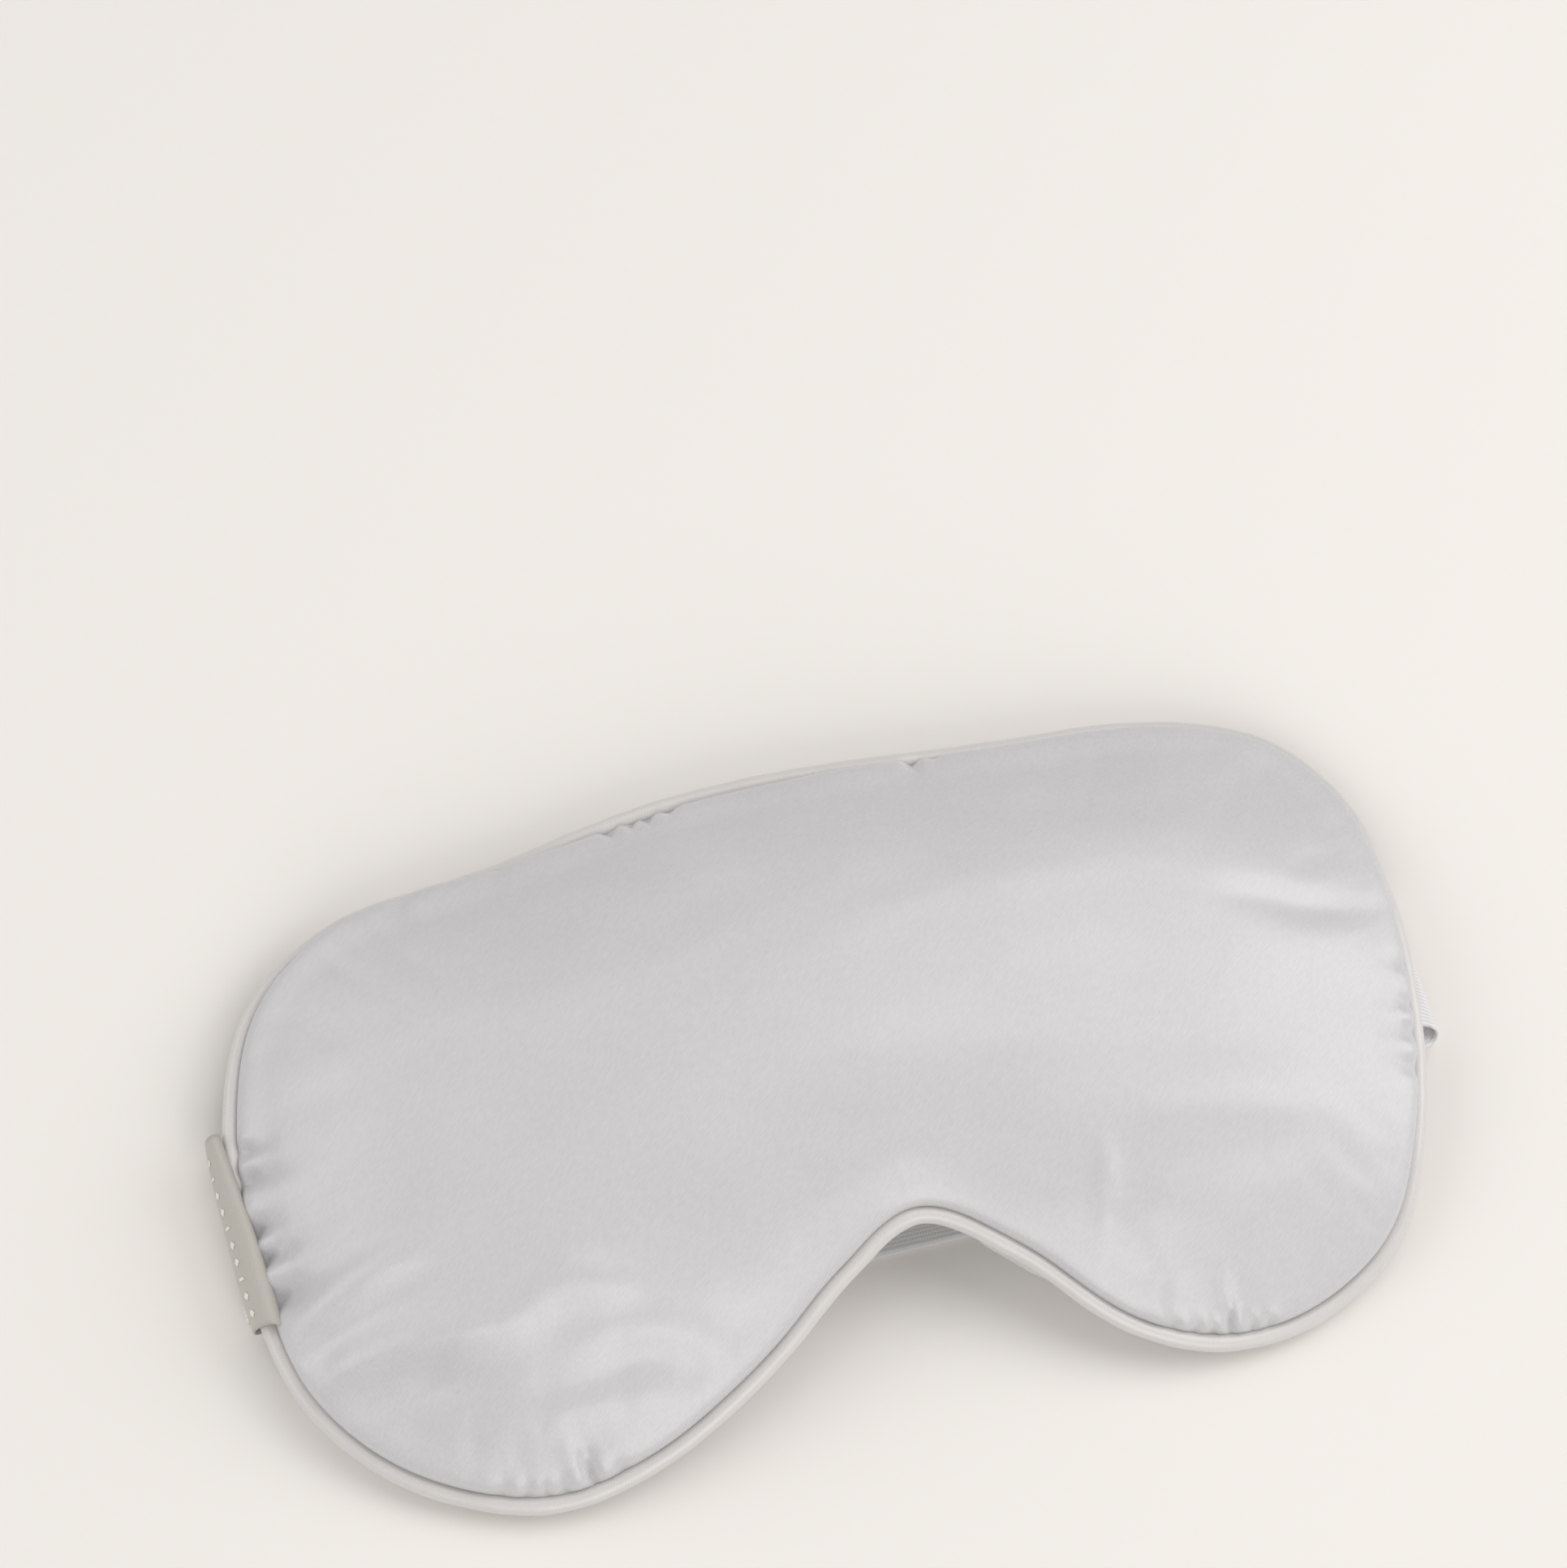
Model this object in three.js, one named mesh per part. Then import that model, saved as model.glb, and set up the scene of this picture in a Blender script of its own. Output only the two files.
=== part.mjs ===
// A padded satin sleep mask lying face up on its folded elastic strap.
// Millimetres. +X is the mask's long axis, +Y its forehead edge, +Z up out of its face.
// The origin is on the table, under the middle of the mask.
import * as THREE from "three";
import { ParametricGeometry } from "three/addons/geometries/ParametricGeometry.js";

// ---------------------------------------------------------------- driving dimensions

// The mask's outer edge, as the soft mask lies: forehead edge, right cheek lobe, nose
// notch, left cheek lobe, and back up the left side.
const OUTLINE = [
  [5, 59], [40, 56.4], [74, 54.6], [93.5, 47], [104.4, 31], [106.2, 12],
  [104, -10], [98.6, -30], [89, -48], [72, -58], [54, -59.4], [38, -53],
  [21, -37], [8, -29.2], [-5, -35.4], [-21, -46.6], [-42, -56.5],
  [-62, -59], [-85, -49], [-99, -32], [-104.2, -8], [-104, 15],
  [-96.6, 38], [-80, 50.2], [-50, 53.4], [-20, 58.4],
];
const AROUND = 64; // steps round the outline
const RINGS = [0, 0.4, 0.68, 0.86, 0.95]; // shared by all layers, from centre to seam
const PAD_CENTRE = new THREE.Vector2(2, 6); // every radial line of the pad starts here

// How the mask arches over the strap folded beneath it.
const ARCH_HEIGHT = 20; // middle of the seam above the table
const ARCH_ACROSS = 0.001; // droop per mm squared towards the temples
const ARCH_FOREHEAD = 0.0025; // and towards the forehead
const ARCH_CHEEKS = 0.0038; // and towards the cheek lobes

// The layers, from the face down.
const PIPING_RADIUS = 1.6;
const CORD_RADIUS = 0.9;
const COVER_THICKNESS = 0.4;
const GAP = 0.3; // air between neighbouring layers
const SATIN = 0.6;
const LINER = 0.5;
const FACE_LOFT = 8; // how far the face bulges above the seam
const BACK_LOFT = 2.5; // and the back below it
const SEAM_STACK = 1.1; // between the two satin panels at the seam
const PADDING_EDGE = 0.95; // the padding stops short of the seam, as a fraction
const LINER_EDGE = 0.985;

// The elastic strap: one ribbed band, lying in three layers under the mask.
const STRAP_WIDTH = 32;
const STRAP_THICKNESS = 0.8;
const LAYER_PITCH = STRAP_THICKNESS + 0.35;
// Outermost point of the turn at each side seam: it stands further out on the right.
const LOOP_REACH = { left: 105.6, right: 107.2 };
const ROOT_HINGE_X = 102;
const INNER_FOLD_X = 57;
const OUTER_FOLD_X = 82;
const MIDDLE_GAP = 1.6; // between the two halves of the bottom run
const FOLD_GAP = 0.4;
// The band wanders towards the cheeks as it folds: the middle line's Y at each turn.
const LINE_Y = { root: 0, innerFold: -6, outerFold: -9, settled: -13, settledX: 60 };

// The woven side label, folded round the strap's turn at the left side seam.
const LABEL_FROM_Y = -18;
const LABEL_LENGTH = 35.2;
const LABEL_THICKNESS = 0.5;

// ---------------------------------------------------------------- materials

const satin = new THREE.MeshStandardMaterial({ color: 0xcbc9ca, roughness: 0.42 });
const pipingSatin = new THREE.MeshStandardMaterial({ color: 0xd9d4d1, roughness: 0.5 });
const wadding = new THREE.MeshStandardMaterial({ color: 0xf0eee9, roughness: 0.95 });
const foam = new THREE.MeshStandardMaterial({ color: 0xe4ddca, roughness: 0.9 });
const blackout = new THREE.MeshStandardMaterial({ color: 0x1c1c1f, roughness: 0.85 });
const cottonCord = new THREE.MeshStandardMaterial({ color: 0xe9e5da, roughness: 0.9 });
const elastic = new THREE.MeshStandardMaterial({ color: 0xcfcecd, roughness: 0.7 });
const wovenLabel = new THREE.MeshStandardMaterial({ color: 0xb8b3ab, roughness: 0.75 });

// ---------------------------------------------------------------- helpers

const outline = new THREE.CatmullRomCurve3(
  OUTLINE.map(([x, y]) => new THREE.Vector3(x, y, 0)), true, "centripetal",
);

// Height of the seam above the table at (x, y).
function seamHeight(x, y) {
  const alongY = y < 0 ? ARCH_CHEEKS : ARCH_FOREHEAD;
  return ARCH_HEIGHT - ARCH_ACROSS * x * x - alongY * y * y;
}

// A point of the outline moved towards the inside of the mask, with its inward normal.
function insetOutline(u, inset) {
  const point = outline.getPoint(u % 1);
  const tangent = outline.getTangent(u % 1);
  const inward = new THREE.Vector2(tangent.y, -tangent.x).normalize();
  return { x: point.x + inward.x * inset, y: point.y + inward.y * inset, inward };
}

// 1 over the middle of the pad, falling steeply to 0 at the seam.
function loftProfile(s) {
  return Math.sqrt(Math.max(0, 1 - s ** 6));
}

// A layer of the pad: a closed body between two height functions of s, where s runs from
// 0 at the pad's centre to 1 at the seam and the layer stops at s = edge.
function layer(edge, top, bottom) {
  const rings = [...RINGS.filter((s) => s < edge), edge];
  const path = [...rings.map((s) => [s, top]), ...rings.toReversed().map((s) => [s, bottom])];
  const place = (u, v, target) => {
    const [s, height] = path[Math.round(v * (path.length - 1))];
    const rim = insetOutline(u, 2 * PIPING_RADIUS + GAP);
    const x = PAD_CENTRE.x + s * (rim.x - PAD_CENTRE.x);
    const y = PAD_CENTRE.y + s * (rim.y - PAD_CENTRE.y);
    target.set(x, y, seamHeight(x, y) + height(s));
  };
  return new ParametricGeometry(place, AROUND, path.length - 1);
}

// A closed ring that follows the outline: the section's points are [outward, up].
function ringAlongOutline(section) {
  const place = (u, v, target) => {
    const [outward, up] = section[Math.round(v * section.length) % section.length];
    const { x, y, inward } = insetOutline(u, PIPING_RADIUS);
    target.set(
      x - inward.x * outward, y - inward.y * outward, seamHeight(x, y) + up,
    );
  };
  return new ParametricGeometry(place, AROUND, section.length);
}

function arcPoints(radius, from, to, steps) {
  return Array.from({ length: steps + 1 }, (_, i) => {
    const angle = from + ((to - from) * i) / steps;
    return [radius * Math.cos(angle), radius * Math.sin(angle)];
  });
}

// A flat shape in the XZ plane, pulled along +Y from y = from.
function pulledAlongY(points, from, length) {
  const shape = new THREE.Shape(points.map(([x, z]) => new THREE.Vector2(x, -z)));
  const geometry = new THREE.ExtrudeGeometry(shape, { depth: length, bevelEnabled: false });
  return geometry.rotateX(-Math.PI / 2).translate(0, from, 0);
}

function mesh(name, geometry, material) {
  const made = new THREE.Mesh(geometry, material);
  made.name = name;
  return made;
}

// ---------------------------------------------------------------- the padded body

const facePanelTop = (s) => SATIN + FACE_LOFT * loftProfile(s);
const facePanelBottom = (s) => facePanelTop(s) - SATIN;
const linerTop = () => -GAP;
const linerBottom = () => linerTop() - LINER;
const backPanelTop = (s) => -SEAM_STACK - BACK_LOFT * loftProfile(s);
const backPanelBottom = (s) => backPanelTop(s) - SATIN;

function paddedBody() {
  const group = new THREE.Group();
  group.add(
    mesh("front_panel", layer(1, facePanelTop, facePanelBottom), satin),
    mesh("front_wadding",
      layer(PADDING_EDGE, (s) => facePanelBottom(s) - GAP, (s) => linerTop(s) + GAP), wadding),
    mesh("blackout_liner", layer(LINER_EDGE, linerTop, linerBottom), blackout),
    mesh("back_foam",
      layer(PADDING_EDGE, (s) => linerBottom(s) - GAP, (s) => backPanelTop(s) + GAP), foam),
    mesh("back_panel", layer(1, backPanelTop, backPanelBottom), satin),
  );
  return group;
}

// ---------------------------------------------------------------- the piping

function piping() {
  const mouth = Math.PI * 0.86; // the cover's two edges meet the seam either side of this
  const cover = [
    ...arcPoints(PIPING_RADIUS, mouth, -mouth, 7),
    ...arcPoints(PIPING_RADIUS - COVER_THICKNESS, -mouth, mouth, 5),
  ];
  const cord = arcPoints(CORD_RADIUS, Math.PI, -Math.PI * 0.6, 4);
  const group = new THREE.Group();
  group.add(
    mesh("piping_cover", ringAlongOutline(cover), pipingSatin),
    mesh("piping_cord", ringAlongOutline(cord), cottonCord),
  );
  return group;
}

// ---------------------------------------------------------------- the strap

const bottomRunZ = 0;
const middleRunZ = LAYER_PITCH;
const upperRunZ = 2 * LAYER_PITCH;

// A flat length of the band between stations [x, middleLineY], resting at height z.
function bandLength(stations, z) {
  const half = STRAP_WIDTH / 2;
  const edge = [
    ...stations.map(([x, y]) => new THREE.Vector2(x, y - half)),
    ...stations.toReversed().map(([x, y]) => new THREE.Vector2(x, y + half)),
  ];
  return new THREE.ExtrudeGeometry(new THREE.Shape(edge), {
    depth: STRAP_THICKNESS, bevelEnabled: false,
  }).translate(0, 0, z);
}

// The turn at the side seam: under the piping, out round the bend and back in below.
function strapTurn(side) {
  const outer = 1.85;
  const inner = outer - STRAP_THICKNESS;
  const reach = side > 0 ? LOOP_REACH.right : LOOP_REACH.left;
  const centre = { x: reach - outer, z: upperRunZ + outer };
  const bend = (radius, from, to) =>
    arcPoints(radius, from, to, 6).map(([x, z]) => [x + centre.x, z + centre.z]);
  const section = [
    [ROOT_HINGE_X + FOLD_GAP, upperRunZ],
    ...bend(outer, -Math.PI / 2, Math.PI / 2),
    [101.2, centre.z + outer + 0.5],
    [101.2, centre.z + inner + 0.5],
    ...bend(inner, Math.PI / 2, -Math.PI / 2),
    [ROOT_HINGE_X + FOLD_GAP, upperRunZ + STRAP_THICKNESS],
  ].map(([x, z]) => [side * x, z]);
  return pulledAlongY(side > 0 ? section : section.toReversed(), -STRAP_WIDTH / 2, STRAP_WIDTH);
}

function strapSide(side, suffix) {
  const line = LINE_Y;
  const at = (stations) => stations.map(([x, y]) => [side * x, y]);
  const upper = [[ROOT_HINGE_X - FOLD_GAP, line.root], [INNER_FOLD_X + 0.2, line.innerFold]];
  const middle = [[INNER_FOLD_X + 0.2, line.innerFold], [OUTER_FOLD_X - 0.2, line.outerFold]];
  const bottom = [
    [OUTER_FOLD_X - 0.2, line.outerFold], [line.settledX, line.settled],
    [MIDDLE_GAP / 2, line.settled],
  ];
  const group = new THREE.Group();
  group.add(
    mesh(`strap_turn_${suffix}`, strapTurn(side), elastic),
    mesh(`strap_upper_${suffix}`, bandLength(at(upper), upperRunZ), elastic),
    mesh(`strap_middle_${suffix}`, bandLength(at(middle), middleRunZ), elastic),
    mesh(`strap_bottom_${suffix}`, bandLength(at(bottom), bottomRunZ), elastic),
  );
  return group;
}

// ---------------------------------------------------------------- the side label

// The ribbon starts beside the piping's crown, runs down outside the strap's turn and
// tucks in beneath it.
function sideLabel() {
  const outerWall = [
    [-105.5, 10.3], [-106.1, 7.6], [-106.4, 4.6], [-106.2, 2.2], [-105.2, 0.9], [-103, 0.9],
  ];
  const innerWall = [
    [-103, 1.4], [-105, 1.4], [-105.7, 2.5], [-105.9, 4.6], [-105.6, 7.4], [-105.1, 10.1],
  ];
  return pulledAlongY([...outerWall, ...innerWall].toReversed(), LABEL_FROM_Y, LABEL_LENGTH);
}

// ---------------------------------------------------------------- assembly

const sleepMask = new THREE.Group();
sleepMask.add(
  paddedBody(), piping(),
  strapSide(-1, "left"), strapSide(1, "right"),
  mesh("side_label", sideLabel(), wovenLabel),
);

export default sleepMask;
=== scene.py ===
"""A padded satin sleep mask lying face up on its folded strap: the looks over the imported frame.

Metres, +Z up, +X along the mask, +Y towards its forehead edge. MM turns millimetres into metres.
"""
import math

import bpy
import numpy as np
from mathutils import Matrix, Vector, geometry


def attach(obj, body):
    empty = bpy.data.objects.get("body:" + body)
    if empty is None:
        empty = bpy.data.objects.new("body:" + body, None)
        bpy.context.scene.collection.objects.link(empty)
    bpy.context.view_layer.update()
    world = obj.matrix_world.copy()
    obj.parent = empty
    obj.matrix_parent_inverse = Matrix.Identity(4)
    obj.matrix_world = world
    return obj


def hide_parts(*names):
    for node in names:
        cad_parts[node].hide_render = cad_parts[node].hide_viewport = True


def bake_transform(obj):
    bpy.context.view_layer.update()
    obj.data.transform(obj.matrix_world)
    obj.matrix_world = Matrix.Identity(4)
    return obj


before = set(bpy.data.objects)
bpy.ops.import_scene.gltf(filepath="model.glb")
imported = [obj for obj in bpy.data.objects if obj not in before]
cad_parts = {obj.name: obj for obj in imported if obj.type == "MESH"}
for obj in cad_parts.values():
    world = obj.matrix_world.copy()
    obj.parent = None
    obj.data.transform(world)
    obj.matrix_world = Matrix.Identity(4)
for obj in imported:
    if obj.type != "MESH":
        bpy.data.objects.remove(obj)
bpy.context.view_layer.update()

MM = 0.001
UP = np.array([0.0, 0.0, 1.0])

# ------------------------------------------------------------------ driving sizes, millimetres

CORD_RADIUS = 0.9
PIPING_RADIUS = 1.6
SEAM_POINTS = 560
SEAM_INSET = 1.15  # from the piping's middle line to where the satin dives under it
FACE_RISE = 5.2  # start height of the face above the seam; the pressure adds the rest
BACK_DROP = 2.2
SHOULDER = 11.0  # distance from the seam over which the face rises
BACK_SHOULDER = 16.0
LAYER_SHOULDER = 12.0  # the same for the layers inside
RIM_ROWS = [0, 0.7, 1.5, 2.5, 3.7, 5.2, 7.0]  # mesh rows near the seam, finer at the edge
FINE_ROWS = 4  # rim rows that use every seam point; the others use every second one
GRID = 2.1  # mesh spacing away from the seam

PRESSURE = 4.0  # the cloth's pressure, in the solver's units
SIM_FRAMES = 24
SIM_SCALE = 10.0  # the cloth solver works best on things near a metre across
FACE_CAP, BACK_CAP = 2.6, 1.3  # how far the cloth may carry a point
RIPPLE = 0.25  # how much of the cloth's short ripples is kept
CALM_ROUNDS = 30

RIM_FADE = 5.0  # depth at which folds and cloth movement reach their full size
FOLD_DEPTH = 0.62  # a factor on every fold below
CRUMPLE = 0.085  # height of the faint waves all over the face
TUCK_DROP, TUCK_PULL = 0.8, 0.55  # shares of a tuck's depth that go down and inwards
LIP_DEPTH = 1.7  # depth at which the satin hangs out furthest over the seam
BELLY_DEPTH = 2.4  # depth at which the back panel swells out furthest
BELLY_REACH = 8.0  # how far in from the rim it still hangs down
BELLY_OUT, BELLY_DOWN = 5.6, 2.4

STRAP_HALF = 16.0
STRAP_THICK = 0.8
RIB_PITCH = 0.72

# ------------------------------------------------------------------ mesh helpers


def new_object(name, verts, faces, material, uvs=None):
    """A smooth-shaded mesh object from verts in metres, with uvs given per vertex."""
    mesh = bpy.data.meshes.new(name)
    mesh.from_pydata([tuple(v) for v in verts], [], [tuple(f) for f in faces])
    if uvs is not None:
        layer = mesh.uv_layers.new(name="UVMap")
        index = np.empty(len(mesh.loops), int)
        mesh.loops.foreach_get("vertex_index", index)
        layer.data.foreach_set("uv", np.asarray(uvs, np.float32)[index].ravel())
    mesh.polygons.foreach_set("use_smooth", [True] * len(mesh.polygons))
    obj = bpy.data.objects.new(name, mesh)
    bpy.context.collection.objects.link(obj)
    mesh.materials.append(material)
    return obj


def subdivide(obj):
    """One level of smooth subdivision, made part of the mesh."""
    modifier = obj.modifiers.new("smooth", "SUBSURF")
    modifier.levels = modifier.render_levels = 1
    modifier.boundary_smooth = "PRESERVE_CORNERS"
    graph = bpy.context.evaluated_depsgraph_get()
    mesh = bpy.data.meshes.new_from_object(obj.evaluated_get(graph))
    obj.modifiers.clear()
    obj.data = mesh


def tube_faces(rings, around, closed=False):
    """Quads over a tube of rings; closed joins its last ring to its first."""
    faces = []
    for i in range(rings if closed else rings - 1):
        a, b = i * around, ((i + 1) % rings) * around
        for j in range(around):
            k = (j + 1) % around
            faces.append((a + j, a + k, b + k, b + j))
    return faces


# ------------------------------------------------------------------ the seam line, from the CAD


def ring_centres(node, reach):
    """The middle of each section of a CAD ring, in order round it."""
    left = np.unique(np.round([v.co[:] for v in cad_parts[node].data.vertices], 7), axis=0)
    centres = []
    while len(left):
        near = np.linalg.norm(left - left[0], axis=1) < reach
        centres.append(left[near].mean(axis=0))
        left = left[~near]
    chain, rest = [centres[0]], centres[1:]
    while rest:
        gaps = [np.linalg.norm(c - chain[-1]) for c in rest]
        chain.append(rest.pop(int(np.argmin(gaps))))
    return np.array(chain)


def closed_spline(points, count, per_span=40):
    """count points, evenly spaced, on the closed cubic spline through points; its length."""
    n = len(points)
    chord = np.linalg.norm(np.roll(points, -1, 0) - points, axis=1)
    before = np.roll(chord, 1)
    system, right = np.zeros((n, n)), np.zeros((n, 3))
    step = (np.roll(points, -1, 0) - points) / chord[:, None]
    for i in range(n):
        system[i, i] = 2 * (chord[i] + before[i])
        system[i, i - 1] += chord[i]
        system[i, (i + 1) % n] += before[i]
        right[i] = 3 * (before[i] * step[i] + chord[i] * step[i - 1])
    slope = np.linalg.solve(system, right)
    fine = []
    for i in range(n):
        t = np.linspace(0, 1, per_span, endpoint=False)[:, None]
        a, b = points[i], points[(i + 1) % n]
        ma, mb = slope[i] * chord[i], slope[(i + 1) % n] * chord[i]
        fine.append(
            (2 * t**3 - 3 * t**2 + 1) * a + (t**3 - 2 * t**2 + t) * ma
            + (3 * t**2 - 2 * t**3) * b + (t**3 - t**2) * mb
        )
    fine = np.concatenate(fine)
    fine = np.vstack([fine, fine[:1]])
    run = np.concatenate([[0], np.cumsum(np.linalg.norm(np.diff(fine, axis=0), axis=1))])
    at = np.linspace(0, run[-1], count, endpoint=False)
    return np.stack([np.interp(at, run, fine[:, k]) for k in range(3)], axis=1), run[-1]


class Seam:
    """The piping's middle line round the mask, and the inward direction at each point."""

    def __init__(self):
        section_reach = 2.6 * MM  # more than the cord's diameter, less than a step along it
        centres = ring_centres("piping_cord", section_reach)
        line, self.length = closed_spline(centres, SEAM_POINTS)
        ahead = np.roll(line, -1, 0) - np.roll(line, 1, 0)
        area = np.sum(line[:, 0] * np.roll(line[:, 1], -1) - np.roll(line[:, 0], -1) * line[:, 1])
        if area > 0:  # clockwise from above, so that the inside is on the right
            line, ahead = line[::-1], -ahead[::-1]
        self.line = line
        inward = np.stack([ahead[:, 1], -ahead[:, 0], 0 * ahead[:, 0]], axis=1)
        self.inward = inward / np.linalg.norm(inward, axis=1)[:, None]
        self.fit_arch()

    def fit_arch(self):
        """The arch that the seam line lies on: z as a quadratic, steeper towards the cheeks."""
        x, y, z = self.line.T
        self.arch, *_ = np.linalg.lstsq(self.arch_terms(x, y), z, rcond=None)

    @staticmethod
    def arch_terms(x, y):
        return np.stack([1 + 0 * x, x, x * x, np.maximum(y, 0) ** 2, np.minimum(y, 0) ** 2], -1)

    def height(self, x, y):
        return self.arch_terms(x, y) @ self.arch

    def depth(self, points, inset):
        """Each point's distance from the seam line moved in by inset, in millimetres, and
        the index of the nearest place on it."""
        rim = (self.line + self.inward * inset * MM)[:, :2]
        best, nearest = np.full(len(points), np.inf), np.zeros(len(points), int)
        batch = 80
        for start in range(0, len(rim), batch):
            gaps = np.linalg.norm(points[:, None] - rim[None, start:start + batch], axis=2)
            closer = gaps.min(axis=1) < best
            nearest = np.where(closer, start + gaps.argmin(axis=1), nearest)
            best = np.minimum(best, gaps.min(axis=1))
        return best / MM, nearest

    def holds(self, points, inset):
        """Which points (x, y) lie inside the seam line moved inwards by inset."""
        rim = (self.line + self.inward * inset * MM)[:, :2]
        after = np.roll(rim, -1, 0)
        inside = np.zeros(len(points), bool)
        for (ax, ay), (bx, by) in zip(rim, after):
            crosses = (ay > points[:, 1]) != (by > points[:, 1])
            if ay != by:
                edge_x = ax + (bx - ax) * (points[:, 1] - ay) / (by - ay)
                inside ^= crosses & (points[:, 0] < edge_x)
        return inside

    def station(self, place):
        """The index of the seam point nearest to a place (x, y), in millimetres."""
        return int(np.argmin(np.linalg.norm(self.line[:, :2] / MM - place, axis=1)))


seam = Seam()

# ------------------------------------------------------------------ materials


class Shader:
    """Adds nodes to one material. A number or colour sets a socket, a socket links to it."""

    def __init__(self, name, **values):
        self.material = bpy.data.materials.new(name)
        self.material.use_nodes = True
        self.tree = self.material.node_tree
        self.bsdf = self.tree.nodes["Principled BSDF"]
        self.set(self.bsdf, values)

    def set(self, node, values):
        for key, value in values.items():
            socket = node.inputs[key if isinstance(key, int) else key.replace("_", " ")]
            if isinstance(value, bpy.types.NodeSocket):
                self.tree.links.new(value, socket)
            else:
                socket.default_value = value

    def add(self, kind, values=None, out=0, **settings):
        node = self.tree.nodes.new("ShaderNode" + kind)
        for key, value in settings.items():
            setattr(node, key, value)
        self.set(node, values or {})
        return node.outputs[out]

    def coordinates(self, kind):
        return self.add("TexCoord", out=kind)

    def math(self, operation, *values):
        return self.add("Math", dict(enumerate(values)), operation=operation)

    def noise(self, vector, scale, detail, roughness=0.5):
        return self.add("TexNoise", {
            "Vector": vector, "Scale": scale, "Detail": detail, "Roughness": roughness,
        })

    def mix(self, factor, a, b):
        return self.add("Mix", {0: factor, 6: a, 7: b}, out=2, data_type="RGBA")

    def bump(self, height, strength, distance, below=None):
        values = {"Height": height, "Strength": strength, "Distance": distance}
        if below is not None:
            values["Normal"] = below
        return self.add("Bump", values)


def rgb(*channels):
    """A linear colour with alpha from red, green and blue of 0 to 255."""
    return tuple(
        (c / 255 / 12.92) if c <= 10 else ((c / 255 + 0.055) / 1.055) ** 2.4 for c in channels
    ) + (1.0,)


def bands(shader, vector, pitch, axis="Y", **values):
    """Wave bands one pitch apart, 0 to 1, that follow each other along the given axis."""
    return shader.add("TexWave", {"Vector": vector, "Scale": math.pi / 10 / pitch, **values},
                      out="Fac", wave_type="BANDS", bands_direction=axis)


def satin(name, colour, pitch=0.42, angle=-48, space="Object", grain=0.05):
    """Satin: fine slanting weave lines, a grain of lit threads and slow changes of tone."""
    s = Shader(name, Roughness=0.34, Sheen_Weight=0.1, Sheen_Roughness=0.4,
               Specular_IOR_Level=0.75)
    where = s.coordinates(space)
    turned = s.add("Mapping", {"Vector": where, "Rotation": (0, 0, math.radians(angle))})
    unit = MM if space == "Object" else 1.0
    lines = bands(s, turned, pitch * unit, Distortion=0.8, Detail=2.0, Detail_Scale=1.5)
    stretched = s.add("Mapping", {"Vector": turned, "Scale": (0.35, 1, 1)})
    threads = s.noise(stretched, 2.2 / unit, 2.0)
    cloud = s.noise(where, 0.045 / unit, 3.0)
    weave = s.math("ADD", s.math("MULTIPLY", lines, 0.3), s.math("MULTIPLY", threads, 0.7))
    tone = s.math("ADD", s.math("MULTIPLY", cloud, 0.3), s.math("MULTIPLY", weave, 0.7))
    spread = 1.6 * grain
    dark = tuple(c * (1 - spread) for c in colour[:3]) + (1,)
    light = tuple(min(1, c * (1 + spread)) for c in colour[:3]) + (1,)
    s.set(s.bsdf, {"Base Color": s.mix(tone, dark, light)})
    s.set(s.bsdf, {"Normal": s.bump(weave, 0.22, 0.06 * MM)})
    return s.material


SATIN = satin("face_satin", rgb(204, 202, 204), grain=0.11)
BACK_SATIN = satin("back_satin", rgb(200, 198, 200))
PIPING_SATIN = satin("piping_satin", rgb(212, 209, 207), pitch=0.5, angle=68, space="UV")


def elastic():
    """Knitted elastic: each rib a row of tight stitches, with painted shade that darkens the
    grooves.
    """
    s = Shader("ribbed_elastic", Roughness=0.62, Sheen_Weight=0.15)
    where = s.coordinates("UV")
    ribs = bands(s, where, RIB_PITCH)
    stitches = bands(s, where, 0.5, "X", Distortion=0.6)
    fuzz = s.noise(where, 4.0, 3.0)
    # painted shade: the base colour darkens where the rib pattern dips into the grooves, mixed with
    # random fuzz
    tone = s.math("ADD", s.math("MULTIPLY", ribs, 0.6), s.math("MULTIPLY", fuzz, 0.4))
    s.set(s.bsdf, {"Base Color": s.mix(tone, rgb(209, 207, 208), rgb(240, 238, 239))})
    s.set(s.bsdf, {"Normal": s.bump(stitches, 0.3, 0.06 * MM, s.bump(ribs, 0.4, 0.06 * MM))})
    return s.material


def woven_label():
    """Grey olive ribbon with a fine flat weave."""
    s = Shader("woven_label", Roughness=0.6, Sheen_Weight=0.2)
    where = s.coordinates("UV")
    weft = bands(s, where, 0.28, Distortion=0.5)
    warp = bands(s, where, 0.22, "X", Distortion=0.5)
    weave = s.math("MULTIPLY", weft, warp)
    fuzz = s.noise(where, 3.0, 3.0)
    tone = s.math("ADD", s.math("MULTIPLY", weave, 0.5), s.math("MULTIPLY", fuzz, 0.5))
    s.set(s.bsdf, {"Base Color": s.mix(tone, rgb(178, 173, 164), rgb(208, 203, 194))})
    s.set(s.bsdf, {"Normal": s.bump(weave, 0.5, 0.06 * MM)})
    return s.material


def mark_thread():
    """White thread, woven in rows."""
    s = Shader("white_thread", Roughness=0.5, Sheen_Weight=0.2)
    rows = bands(s, s.coordinates("Object"), math.pi / 10 * MM)
    s.set(s.bsdf, {"Base Color": s.mix(rows, rgb(222, 220, 216), rgb(246, 245, 242)),
                   "Normal": s.bump(rows, 0.3, 0.05 * MM)})
    return s.material


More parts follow.
